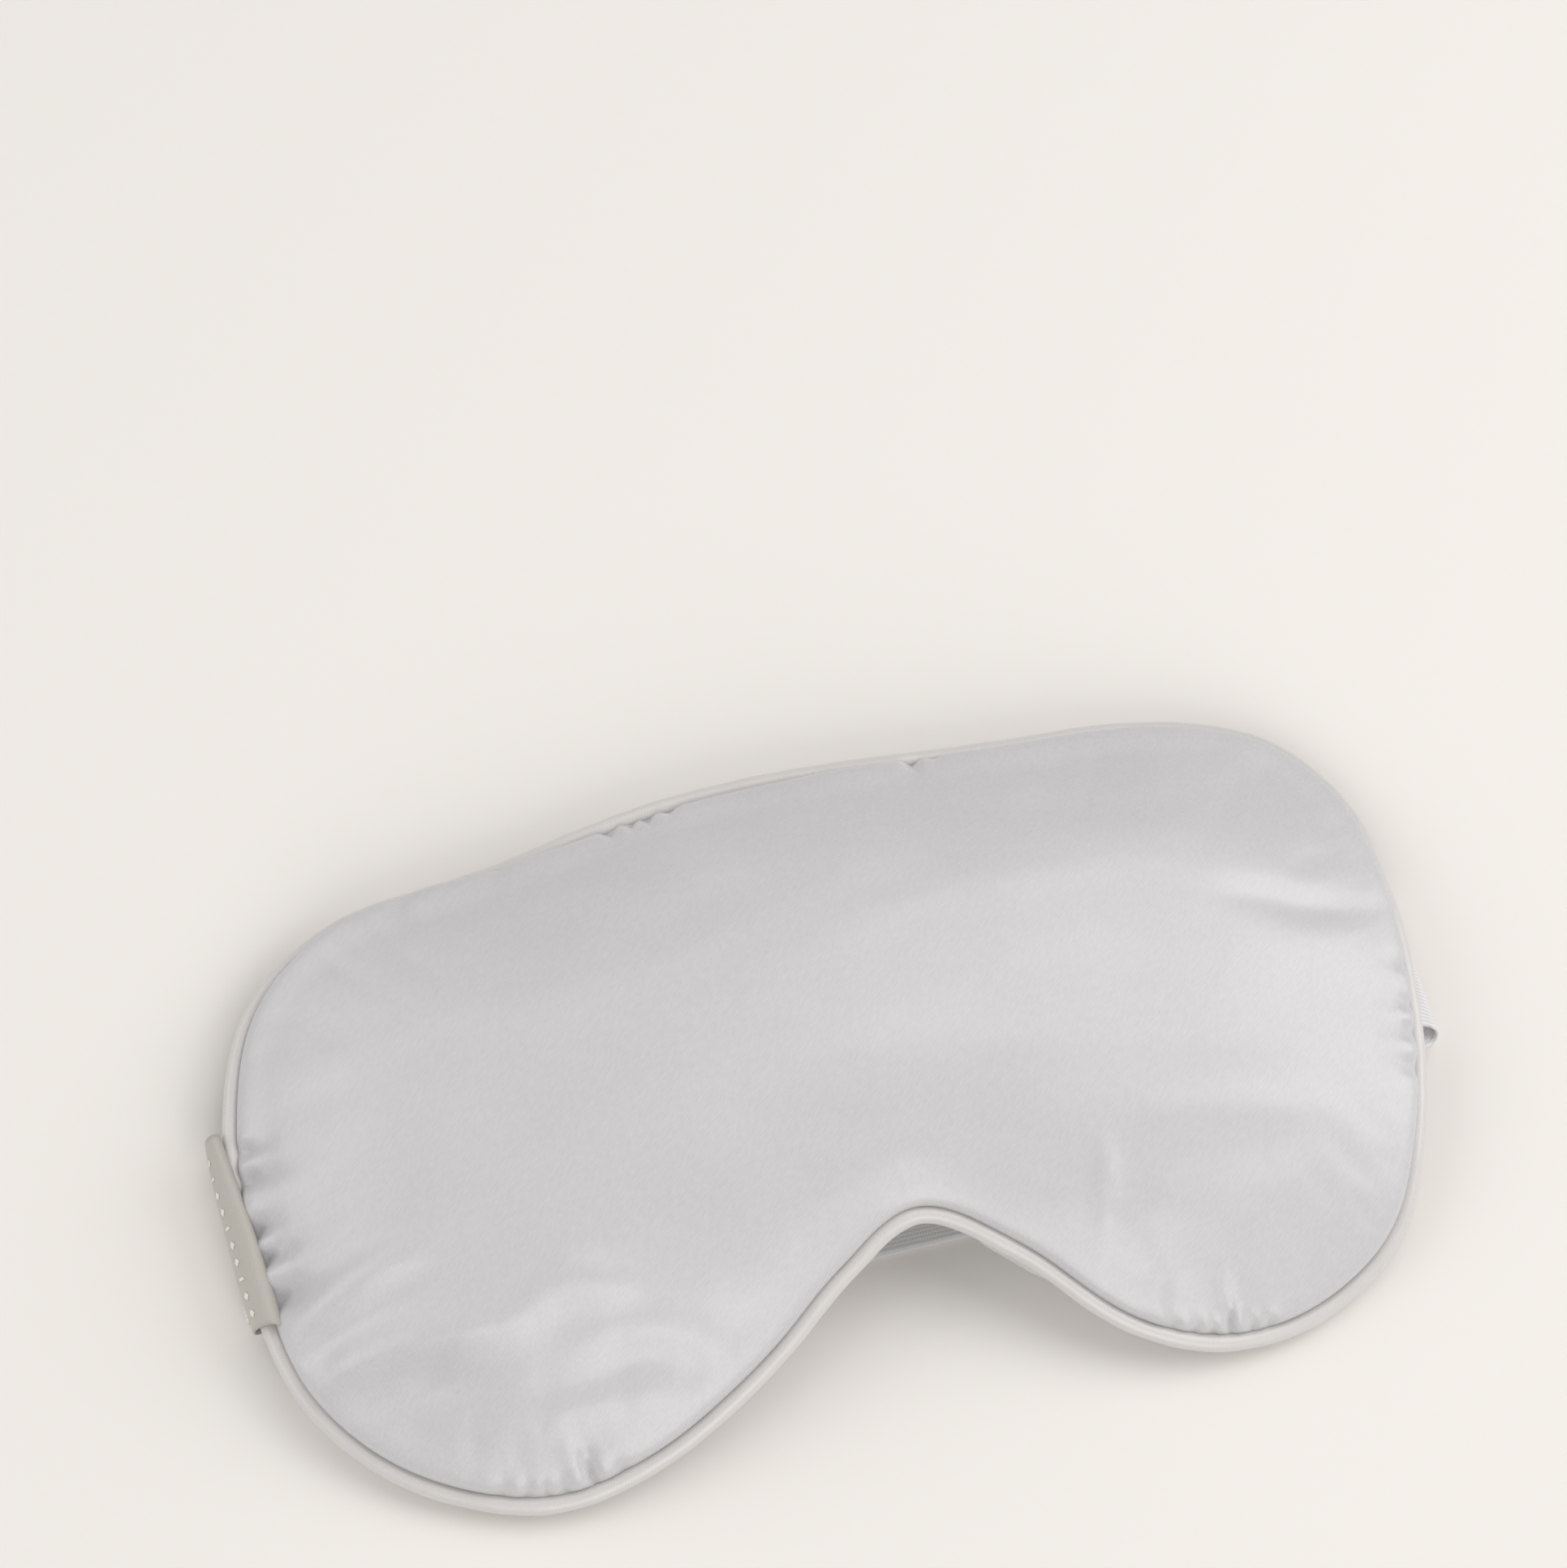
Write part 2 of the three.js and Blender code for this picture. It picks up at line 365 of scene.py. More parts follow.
def soft_filling(name, light, dark, size):
    """Cotton, wadding, foam or blackout cloth: a matt tone broken up by its fibres or cells,
    whose size is in millimetres."""
    s = Shader(name, Roughness=0.9, Sheen_Weight=0.25)
    where = s.coordinates("Object")
    fibres = s.noise(where, 1 / (size * MM), 4.0, 0.7)
    s.set(s.bsdf, {"Base Color": s.mix(fibres, dark, light),
                   "Normal": s.bump(fibres, 0.5, 0.3 * MM)})
    return s.material


WADDING = soft_filling("polyester_wadding", rgb(244, 243, 240), rgb(214, 213, 210), 1.6)
FOAM = soft_filling("foam_sheet", rgb(236, 231, 214), rgb(205, 199, 180), 0.7)
BLACKOUT = soft_filling("blackout_cloth", rgb(44, 44, 48), rgb(20, 20, 23), 0.4)
CORD_COTTON = soft_filling("cotton_cord", rgb(238, 234, 224), rgb(196, 190, 176), 0.5)
ELASTIC = elastic()
LABEL = woven_label()
MARK_THREAD = mark_thread()

# ------------------------------------------------------------------ the padded panels

# Soft folds of the face: the line each follows, its half width, and its height at the
# middle before FOLD_DEPTH, where below zero is a valley. They fade out towards both ends.
FOLDS = [
    # right side, above the lobe: the long crease and its neighbours
    ([(70, 15.5), (81, 12.2), (87, 9.9), (94, 8.6), (104, 7.6)], 2.5, -0.95),
    ([(68, 20.5), (82, 17.4), (93, 13.8), (104, 12.2)], 4.0, 0.45),
    ([(66, 27), (82, 24), (98, 22)], 4.5, 0.35),
    ([(78, 3), (92, 2), (104, 0)], 4.0, 0.5),
    ([(76, -5), (90, -7), (103, -7)], 3.0, -0.45),
    # right lobe
    ([(41, -23), (40.2, -28), (39.1, -32.5), (38.2, -40)], 1.5, 1.6),
    ([(41.6, -34), (48.5, -29.4), (60, -29.6), (72, -30.5), (86, -34)], 4.6, -1.1),
    ([(80, -37), (70, -42), (60, -46), (50, -43)], 4.6, -0.8),
    ([(43.5, -37.5), (50, -37), (58, -37)], 3.0, 0.4),
    ([(47, -22.5), (62, -23), (78, -25)], 3.2, 0.8),
    ([(14, -18.3), (19.3, -20.4), (27, -23.1), (36, -29.5)], 2.4, -0.8),
    ([(43.2, -52), (44.8, -48), (48.5, -45.5)], 1.5, 0.8),
    ([(55.2, -57), (56.7, -52.8), (58.3, -48.5)], 1.2, 1.0),
    ([(94, -20), (94, -32), (87, -46)], 3.5, 0.6),
    # left lobe, from the label's near end inwards
    ([(-101, -24), (-91.1, -19.2), (-81.4, -16.1), (-68, -13.5)], 3.2, 3.8),
    ([(-100, -27.4), (-90.3, -24.4), (-80.5, -22.2), (-70, -21.2)], 2.0, -1.3),
    ([(-98, -31.5), (-86.5, -29.8), (-76.2, -29.3), (-58, -30.5)], 3.1, 4.2),
    ([(-96.5, -34.8), (-84.5, -35.4), (-72.5, -37.0), (-60, -39)], 2.3, -1.5),
    ([(-96, -12.5), (-86, -9.5), (-74, -7.5)], 3.0, 0.7),
    ([(-97, -7), (-86, -3.5), (-76, -2.5)], 2.6, -0.5),
    ([(-99, 2), (-88, 3.5), (-76, 3.5)], 3.0, 0.5),
    ([(-64, -28.5), (-52, -25.8), (-38, -29.5)], 4.2, 3.2),
    ([(-55, -37), (-46.4, -35.9), (-38, -37.2), (-31, -40.7), (-26.6, -47)], 2.4, 0.75),
    ([(-51, -41.6), (-41, -40.9), (-31.5, -44.2)], 3.0, -1.3),
    ([(-68, -46.5), (-56, -46.6), (-46, -46.6), (-36, -47.8), (-28, -46.5)], 2.4, 0.9),
    ([(-63, -42), (-55, -42), (-48, -43.5)], 3.0, -0.7),
    ([(-59.5, -50.5), (-56.5, -52.5), (-55, -56)], 1.8, 0.9),
    ([(-50, -56), (-48.5, -52), (-44, -49.5)], 1.6, 0.6),
    # the notch and the far side
    ([(-20, -28), (-4, -21.5), (8, -17.5), (20, -15)], 3.5, 0.5),
    ([(5, -17), (7, -23), (7.8, -28)], 0.9, -0.5),
    ([(-99, 24), (-88, 22.5), (-74, 20)], 3.2, 0.6),
    ([(-102, 17), (-90, 15), (-76, 14.5)], 3.0, -0.5),
    ([(-50, 16), (-20, 8), (14, 8)], 9.0, 0.35),
    ([(-40, 34), (0, 28), (40, 31)], 8.0, -0.35),
    ([(-60, 44), (-40, 40), (-10, 43)], 8.0, 0.3),
    ([(10, 42), (40, 38), (70, 42)], 8.0, 0.3),
]

# Tucks at the seam, where the satin is drawn in: a point near each, how far it reaches
# in from the seam, its half width along the seam, and its depth.
TUCKS = [
    ((-104, 11.5), 7.0, 1.5, 2.6), ((-104, 6.5), 8.0, 1.9, 3.2), ((-104, -2.6), 7.0, 2.0, 3.2),
    ((-103, -8.2), 8.0, 1.8, 3.4), ((-102, -15.5), 9.0, 2.4, 3.6),
    ((-53.4, -58), 6.0, 0.9, 2.8), ((-58.5, -59), 3.0, 1.1, 1.4), ((-62.0, -59), 3.0, 1.0, 1.4),
    ((-65.4, -58.5), 3.0, 1.1, 1.4), ((-69.5, -57.8), 3.0, 1.3, 1.0), ((-48, -57.6), 3.0, 1.4, 0.9),
    ((55, -59.5), 6.0, 0.8, 2.4), ((58.8, -59.5), 3.0, 0.9, 1.6), ((62.2, -59.5), 3.0, 1.0, 1.3),
    ((51.8, -59), 3.0, 0.9, 1.5), ((48.6, -58.2), 3.0, 1.0, 1.5), ((45.2, -56.8), 3.0, 1.0, 1.2),
    ((-27.5, 57), 4.0, 1.3, 2.2), ((-23.9, 58), 3.6, 1.0, 2.0), ((-20.2, 58.5), 3.8, 1.0, 2.2),
    ((-16.4, 58.6), 3.2, 1.1, 1.5), ((29, 57), 4.6, 1.2, 2.6), ((32.6, 57), 3.0, 1.2, 1.2),
    ((104, -10), 6.0, 1.4, 1.5), ((103.4, -15.5), 6.0, 1.5, 1.7), ((101.6, -21.5), 6.0, 1.6, 1.4),
    ((105, -3), 5.0, 1.4, 1.1), ((-66, 52.4), 5.0, 2.2, 1.2), ((-48, 53.6), 4.0, 1.8, 1.0),
]

# How far the satin hangs out over the seam, at points round the edge.
OVERHANG = [
    ((5, 59), 1.0), ((16, 58), 1.7), ((40, 56), 2.0), ((74, 54), 2.1), ((93, 47), 2.3),
    ((106, 12), 2.6), ((104, -10), 2.5), ((99, -30), 2.1), ((89, -48), 1.5), ((72, -58), 1.3),
    ((38, -53), 1.25), ((8, -29), 1.25), ((-42, -56), 1.25), ((-85, -49), 1.3),
    ((-99, -32), 1.5), ((-100.5, -24), 1.3),
    ((-103, -14), 0.9), ((-104, 2), 0.9), ((-104, 10), 0.8), ((-103.5, 20), 0.9),
    ((-97, 36), 1.3), ((-88, 45), 2.0), ((-78, 50), 2.8), ((-60, 53), 3.1), ((-50, 54), 2.8),
    ((-40, 55), 1.8), ((-33, 56), 1.0), ((-20, 58), 0.7),
]

# Where the back panel swells out under the piping, beside the nose notch: a share of the
# full swelling at points round the edge.
BELLY = [
    ((4, -29.5), 0.0), ((12, -31), 0.5), ((18, -35), 0.8), ((24, -40), 0.85), ((30, -46), 0.6),
    ((36, -51), 0.25), ((44, -56), 0.0), ((-14, -42), 0.0), ((-30, -51), 0.2), ((-50, -58), 0.0),
]


def panel_mesh(inset):
    """A triangle mesh that fills the seam line: rows along the rim, an even grid inside.

    Returns (x, y) points in metres, triangles, and each point's depth and nearest seam point.
    """
    rim = seam.line + seam.inward * inset * MM
    rings = []
    for k, row in enumerate(RIM_ROWS):
        every = 1 if k < FINE_ROWS else 2
        shift = k % 2 if every == 2 else 0
        rings.append((rim + seam.inward * row * MM)[shift::every, :2])
    step = GRID * MM
    low, high = rim[:, :2].min(0), rim[:, :2].max(0)
    rows = np.arange(low[1], high[1], step * math.sqrt(3) / 2)
    inner = np.array([
        (x + (step / 2 if i % 2 else 0), y)
        for i, y in enumerate(rows) for x in np.arange(low[0], high[0], step)
    ])
    inner = inner[seam.holds(inner, inset)]
    inner = inner[seam.depth(inner, inset)[0] > RIM_ROWS[-1] + GRID * 0.7]
    cloud = [Vector(p) for p in np.concatenate(rings + [inner]) / MM]
    count = len(rings[0])
    edges = [(i, (i + 1) % count) for i in range(count)]
    keep_inside, tolerance = 1, 1e-6
    verts, _, faces, *_ = geometry.delaunay_2d_cdt(cloud, edges, [], keep_inside, tolerance)
    flat = np.array([v[:] for v in verts]) * MM
    depth, nearest = seam.depth(flat, inset)
    return flat, [list(f) for f in faces], depth, nearest


def shoulder(depth, width):
    """0 at the rim, rising like a quarter of an ellipse to 1 at the given depth."""
    t = np.clip(depth / width, 0, 1)
    return np.sqrt(1 - (1 - t) ** 2)


def hump(t):
    """0 at t = 0, 1 at t = 1, and a long fade after it."""
    return t * np.exp(1 - t)


def inflate(name, verts, faces, pinned):
    """Cloth under pressure, held along the rim: returns where its points end up."""
    mesh = bpy.data.meshes.new(name)
    mesh.from_pydata([tuple(v * SIM_SCALE) for v in verts], [], faces)
    obj = bpy.data.objects.new(name, mesh)
    bpy.context.collection.objects.link(obj)
    group = obj.vertex_groups.new(name="rim")
    group.add([int(i) for i in pinned], 1.0, "REPLACE")
    modifier = obj.modifiers.new("cloth", "CLOTH")
    cloth = modifier.settings
    cloth.quality = 6
    cloth.mass = 0.3
    cloth.tension_stiffness = cloth.compression_stiffness = 20
    cloth.shear_stiffness = 8
    cloth.bending_stiffness = 4.0
    cloth.tension_damping = cloth.compression_damping = cloth.shear_damping = 12
    cloth.air_damping = 4
    cloth.vertex_group_mass = "rim"
    cloth.use_pressure = True
    cloth.uniform_pressure_force = PRESSURE
    cloth.effector_weights.gravity = 0
    modifier.collision_settings.use_collision = False
    modifier.point_cache.frame_end = SIM_FRAMES
    scene = bpy.context.scene
    for number in range(1, SIM_FRAMES + 1):
        scene.frame_set(number)
    graph = bpy.context.evaluated_depsgraph_get()
    moved = obj.evaluated_get(graph).data
    out = np.empty(len(verts) * 3)
    moved.vertices.foreach_get("co", out)
    bpy.data.objects.remove(obj, do_unlink=True)
    scene.frame_set(1)
    return out.reshape(-1, 3) / SIM_SCALE


def along_line(points, line):
    """Distance of each point (x, y) from a bent line, and the share of its length there."""
    line = np.array(line, float)
    steps = np.linalg.norm(np.diff(line, axis=0), axis=1)
    starts = np.concatenate([[0], np.cumsum(steps)])
    best, share = np.full(len(points), np.inf), np.zeros(len(points))
    for a, b, step, start in zip(line, line[1:], steps, starts):
        t = np.clip(((points - a) @ (b - a)) / step**2, 0, 1)
        gap = np.linalg.norm(points - (a + t[:, None] * (b - a)), axis=1)
        share = np.where(gap < best, (start + t * step) / starts[-1], share)
        best = np.minimum(best, gap)
    return best, share


def smooth_line(points, per_step=6):
    """An open Catmull-Rom curve through points, so that a fold bends and has no corner."""
    p = np.array(points, float)
    p = np.vstack([2 * p[0] - p[1], p, 2 * p[-1] - p[-2]])
    out = []
    for a, b, c, d in zip(p, p[1:], p[2:], p[3:]):
        for t in np.arange(per_step) / per_step:
            out.append(0.5 * (2 * b + (c - a) * t + (2 * a - 5 * b + 4 * c - d) * t**2
                              + (3 * b - a - 3 * c + d) * t**3))
    return np.array(out + [p[-2]])


def folds(flat, depth):
    """Height of the soft folds at each point (x, y), in millimetres."""
    high = np.zeros(len(flat))
    for line, width, height in FOLDS:
        gap, share = along_line(flat / MM, smooth_line(line))
        fade = np.sin(math.pi * np.clip(share * 0.94 + 0.03, 0, 1)) ** 0.8
        high += height * np.exp(-(gap / width) ** 2) * fade
    return (FOLD_DEPTH * high + crumple(flat / MM)) * np.clip(depth / RIM_FADE, 0, 1)


def crumple(p):
    """Faint uneven waves that run mostly left to right, as on satin that was smoothed flat.

    Seven waves, each finer and lower than the last, that lean, bend and come in patches.
    """
    total = np.zeros(len(p))
    for k in range(1, 8):
        lean = math.radians(14 * math.sin(2.3 * k))
        across = p[:, 1] * math.cos(lean) - p[:, 0] * math.sin(lean)
        along = p[:, 0] * math.cos(lean) + p[:, 1] * math.sin(lean)
        wave = np.sin(across * (0.22 + 0.075 * k) + 1.4 * np.sin(along * (0.021 + 0.009 * k) + k))
        patch = 0.5 + 0.5 * np.sin(along * (0.045 + 0.006 * k) + across * 0.03 + 2.1 * k)
        total += CRUMPLE / k ** 0.6 * wave * patch**2
    return total


def tucks(depth, nearest):
    """How deep the tucks at the seam cut at each point, in millimetres."""
    step = seam.length / MM / SEAM_POINTS
    total = np.zeros(len(depth))
    for place, reach, width, deep in TUCKS:
        half = SEAM_POINTS / 2
        along = (nearest - seam.station(place) + half) % SEAM_POINTS - half
        t = depth / reach
        sideways = np.exp(-(along * step / (width * (0.8 + 0.5 * t))) ** 2)
        total += deep * sideways * np.clip(t * 5, 0, 1) * np.exp(-(t * 1.4) ** 2)
    return total


def round_edge(table, nearest):
    """A value given at points round the edge, read off in between."""
    homes = [seam.station(place) for place, _ in table]
    order = np.argsort(homes)
    at = np.array(homes)[order]
    amount = np.array([value for _, value in table])[order]
    return np.interp(nearest, np.r_[at[-1] - SEAM_POINTS, at, at[0] + SEAM_POINTS],
                     np.r_[amount[-1], amount, amount[0]])


def calm(shift, faces):
    """The cloth's shift with its short ripples evened out over neighbouring points."""
    pairs = np.array([(f[i], f[i - 1]) for f in faces for i in range(3)])
    both = np.concatenate([pairs, pairs[:, ::-1]])
    near = np.bincount(both[:, 0], minlength=len(shift))[:, None]
    for _ in range(CALM_ROUNDS):
        total = np.zeros_like(shift)
        np.add.at(total, both[:, 0], shift[both[:, 1]])
        shift = 0.4 * shift + 0.6 * total / near
    return shift


def puff(name, verts, faces, depth, cap):
    """How the pressure moves each point: ripples evened out, faded at the rim, capped."""
    pinned = np.flatnonzero(depth < 0.05)
    shift = inflate(name + "_sim", verts, faces, pinned) - verts
    shift = RIPPLE * shift + (1 - RIPPLE) * calm(shift, faces)
    shift *= np.clip(depth / RIM_FADE, 0, 1)[:, None] ** 1.5
    length = np.linalg.norm(shift, axis=1) / MM
    return shift * np.minimum(1, cap / np.maximum(length, 1e-9))[:, None]


def face_detail(flat, depth, nearest):
    """How far the face goes out over the seam, and up at folds and down at tucks, in mm."""
    deep = tucks(depth, nearest)
    out = round_edge(OVERHANG, nearest) * hump(depth / LIP_DEPTH)
    return out - TUCK_PULL * deep, folds(flat, depth) - TUCK_DROP * deep


def back_detail(depth, nearest):
    """How far the back goes out and up, in mm, where it swells beside the notch."""
    belly = round_edge(BELLY, nearest)
    t = depth / BELLY_DEPTH
    down = BELLY_DOWN * belly * np.clip(t * 2, 0, 1) * np.exp(-(depth / BELLY_REACH) ** 2)
    return BELLY_OUT * belly * hump(t), -down


def padded_panel(name, side, rise, width, base, material, cap):
    """One satin panel, puffed out to side +1 (the face) or -1 (the back)."""
    flat, faces, depth, nearest = panel_mesh(SEAM_INSET)
    height = seam.height(flat[:, 0], flat[:, 1]) + base * MM
    verts = np.column_stack([flat, height + side * rise * MM * shoulder(depth, width)])
    if side < 0:
        faces = [f[::-1] for f in faces]
    verts = verts + puff(name, verts, faces, depth, cap)
    out, up = face_detail(flat, depth, nearest) if side > 0 else back_detail(depth, nearest)
    verts -= seam.inward[nearest] * (out * MM)[:, None]
    verts[:, 2] += up * MM
    obj = new_object(name, verts, faces, material, flat / MM)
    subdivide(obj)
    return obj


# ------------------------------------------------------------------ the piping


def edge_tube(name, size, material, around=14):
    """A tube along the seam, slightly uneven: the satin piping, or the cord inside it."""
    angle = np.linspace(0, 2 * math.pi, around, endpoint=False)
    run = np.arange(SEAM_POINTS) / SEAM_POINTS * seam.length / MM
    swell = 1 + 0.02 * np.sin(run / 3.1) + 0.018 * np.sin(run / 1.37 + 1)
    radius = size * MM * swell
    ring = (
        seam.line[:, None]
        - seam.inward[:, None] * (np.cos(angle)[None] * radius[:, None])[..., None]
        + UP * (np.sin(angle)[None] * radius[:, None])[..., None]
    )
    uvs = np.stack(np.broadcast_arrays(run[:, None], (angle * size)[None]), -1)
    faces = tube_faces(SEAM_POINTS, around, closed=True)
    return new_object(name, ring.reshape(-1, 3), faces, material, uvs.reshape(-1, 2))


# ------------------------------------------------------------------ the layers inside


def inner_layer(name, start, top, bottom, material):
    """A closed sheet inside the pad. It begins at a depth from the rim; top and bottom give
    each face's height over the seam surface and how much more it rises in the middle."""
    flat, faces, depth, _ = panel_mesh(SEAM_INSET + start)
    count = len(flat)
    height = seam.height(flat[:, 0], flat[:, 1])
    crown = shoulder(depth, LAYER_SHOULDER)
    layers = [np.column_stack([flat, height + (base + rise * crown) * MM])
              for base, rise in (top, bottom)]
    edges = {(a, b) for f in faces for a, b in zip(f, f[1:] + f[:1])}
    walls = [(b, a, a + count, b + count) for a, b in sorted(edges) if (b, a) not in edges]
    under = [[i + count for i in reversed(f)] for f in faces]
    uvs = np.concatenate([flat, flat]) / MM
    return new_object(name, np.concatenate(layers), faces + under + walls, material, uvs)


# ------------------------------------------------------------------ the strap

UPPER_Z, MIDDLE_Z, BOTTOM_Z = 2.7, 1.55, 0.4  # heights of the three runs
INNER_X, OUTER_X = 57.2, 81.8  # the two folds
FOLD_RADIUS = (UPPER_Z - MIDDLE_Z) / 2
TURN_X = {"left": 103.75, "right": 105.35}  # the turn at the seam
TURN_SLANT = {"left": 0.0, "right": 4.0}  # how far along the seam each turn begins
TURN_RADIUS = 1.45
ROOT_X = 103.2  # where the turn ends and the upper run begins
UPPER_CUT, MIDDLE_CUT = 79.5, 69.5  # where one piece of band passes to the next


def band_middle(x, run):
    """The band's middle line: its Y at x on the upper, middle or bottom run."""
    if run == "upper":
        return np.interp(x, [INNER_X, 101.6], [-6, 0])
    if run == "middle":
        return np.interp(x, [INNER_X, OUTER_X], [-6, -9])
    return np.interp(x, [60, OUTER_X], [-13, -9])


def band(name, side, path):
    """A ribbed elastic band along path: rows of (x, middle y, z), in millimetres."""
    path = np.array(path, float)
    path[:, 0] *= side
    ahead = np.gradient(path, axis=0)
    ahead[:, 1] = 0
    ahead /= np.linalg.norm(ahead, axis=1)[:, None]
    normal = np.stack([-ahead[:, 2], 0 * ahead[:, 0], ahead[:, 0]], axis=1)
    across = np.linspace(-STRAP_HALF, STRAP_HALF, int(2 * STRAP_HALF / RIB_PITCH) * 3 + 1)
    rib = np.sin(across / RIB_PITCH * 2 * math.pi)
    edge = np.clip((STRAP_HALF - np.abs(across)) / 0.35, 0.35, 1)
    thick = STRAP_THICK / 2 * edge * (1 - 0.1 * (0.5 - 0.5 * rib))
    section = np.concatenate([
        np.stack([across, thick], 1), np.stack([across[::-1], -thick[::-1]], 1)
    ])
    verts = (
        path[:, None] + normal[:, None] * section[None, :, 1:2]
        + np.array([0, 1, 0]) * section[None, :, 0:1]
    )
    run = np.concatenate([[0], np.cumsum(np.linalg.norm(np.diff(path, axis=0), axis=1))])
    uvs = np.stack(np.broadcast_arrays(run[:, None], section[None, :, 0]), -1)
    rows, columns = len(path), len(section)
    faces = tube_faces(rows, columns)
    faces += [tuple(range(columns))[::-1], tuple(range((rows - 1) * columns, rows * columns))]
    if side < 0:
        faces = [f[::-1] for f in faces]
    obj = new_object(name, verts.reshape(-1, 3) * MM, faces, ELASTIC, uvs.reshape(-1, 2))
    obj.data.set_sharp_from_angle(angle=math.radians(55))
    return obj


def straight(start, end, z, run, count):
    return [(x, band_middle(x, run), z) for x in np.linspace(start, end, count)]


def bend(x, y, z, radius, start, end, count=9):
    turn = np.radians(np.linspace(start, end, count))
    return [(x + radius * math.cos(a), y, z + radius * math.sin(a)) for a in turn]


def strap(side, suffix):
    """The band on one side: the turn at the seam, then three lengths cut between creases."""
    turn_x, turn_z = TURN_X[suffix], UPPER_Z + TURN_RADIUS
    turn = [(100.9, 0, 7.4), (101.8, 0, 6.6), (turn_x - 0.95, 0, 5.85)]
    turn += bend(turn_x, 0, turn_z, TURN_RADIUS, 95, -90, 12) + [(ROOT_X, 0, UPPER_Z)]
    shifts = np.linspace(TURN_SLANT[suffix], 0, len(turn))
    turn = [(x, y + shift, z) for (x, y, z), shift in zip(turn, shifts)]

    root = straight(ROOT_X, 100.2, UPPER_Z, "upper", 8)
    root += straight(98, UPPER_CUT, UPPER_Z, "upper", 6)

    inner = straight(UPPER_CUT, 60, UPPER_Z, "upper", 6)
    inner += straight(58.4, 57.4, UPPER_Z, "upper", 2)
    inner += bend(INNER_X, -6, (UPPER_Z + MIDDLE_Z) / 2, FOLD_RADIUS, 90, 270)
    inner += straight(57.4, 58.4, MIDDLE_Z, "middle", 2)
    inner += straight(60, MIDDLE_CUT, MIDDLE_Z, "middle", 4)

    outer = straight(MIDDLE_CUT, 80.6, MIDDLE_Z, "middle", 5)
    outer += bend(OUTER_X, -9, (MIDDLE_Z + BOTTOM_Z) / 2, FOLD_RADIUS, 90, -90)
    outer += straight(80.6, 60, BOTTOM_Z, "bottom", 7)
    outer += straight(55, 0.02, BOTTOM_Z, "bottom", 8)

    pieces = {
        "turn": band(f"strap_at_seam_{suffix}", side, turn),
        "root": band(f"strap_root_{suffix}", side, root),
        "inner": band(f"strap_inner_fold_{suffix}", side, inner),
        "outer": band(f"strap_outer_fold_{suffix}", side, outer),
    }
    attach(pieces["turn"], "mask")
    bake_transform(pieces["root"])
    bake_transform(pieces["inner"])
    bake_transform(pieces["outer"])
    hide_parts(f"strap_turn_{suffix}")
    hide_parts(f"strap_upper_{suffix}")
    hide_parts(f"strap_middle_{suffix}")
    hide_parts(f"strap_bottom_{suffix}")


# ------------------------------------------------------------------ the side label

# The folded ribbon seen end on, (x, z) in millimetres, at its far end, middle and near
# end: from the lip by the seam over the crest, down the outer wall and under the strap.
LABEL_SECTIONS = [
    [(-104.0, 10.25), (-104.3, 11.4), (-105.0, 12.0), (-105.9, 11.2), (-106.6, 9.8),
     (-107.0, 8.0), (-107.0, 6.2), (-106.7, 4.4), (-106.2, 2.4), (-105.2, 1.2), (-103.6, 0.9)],
    [(-100.9, 11.5), (-101.2, 12.7), (-102.2, 13.2), (-103.8, 12.25), (-105.2, 10.6),
     (-106.0, 8.5), (-106.4, 6.4), (-106.5, 4.4), (-106.1, 2.4), (-105.1, 1.2), (-103.5, 0.9)],
    [(-98.7, 11.2), (-99.2, 12.3), (-100.2, 12.8), (-101.6, 11.95), (-102.95, 10.25),
     (-103.85, 8.2), (-104.4, 6.3), (-104.6, 4.4), (-104.6, 2.6), (-104.1, 1.5), (-103.2, 1.0)],
]
LABEL_FAR, LABEL_NEAR = 15.7, -19.3
LABEL_THICK = 0.35
LABEL_GIRTH, LABEL_LENGTH = 16.0, 35.5  # the ribbon laid flat, for its weave
MARKS = 10
FIRST_MARK, LAST_MARK = 0.12, 0.92  # shares of the label's length


def label_point(across, along):
    """A point on the label's outside: across from lip to hem, along from far to near.

    The shape runs through the three sections, with a slight wave and ends cut at a slant.
    """
    far, middle, near = (smooth_line(line, 4) for line in LABEL_SECTIONS)
    shape = (2 * (along - 0.5) * (along - 1) * far + 4 * along * (1 - along) * middle
             + 2 * along * (along - 0.5) * near)
    at = across * (len(shape) - 1)
    x, z = (np.interp(at, np.arange(len(shape)), shape[:, k]) for k in (0, 1))
    wave = 0.15 * math.sin(along * 9) * math.sin(across * 4)
    slant = (0.2 - across) * (1.0 - 3.6 * along)
    y = LABEL_FAR + (LABEL_NEAR - LABEL_FAR) * along + slant
    return np.array([x - wave, y, z]) * MM


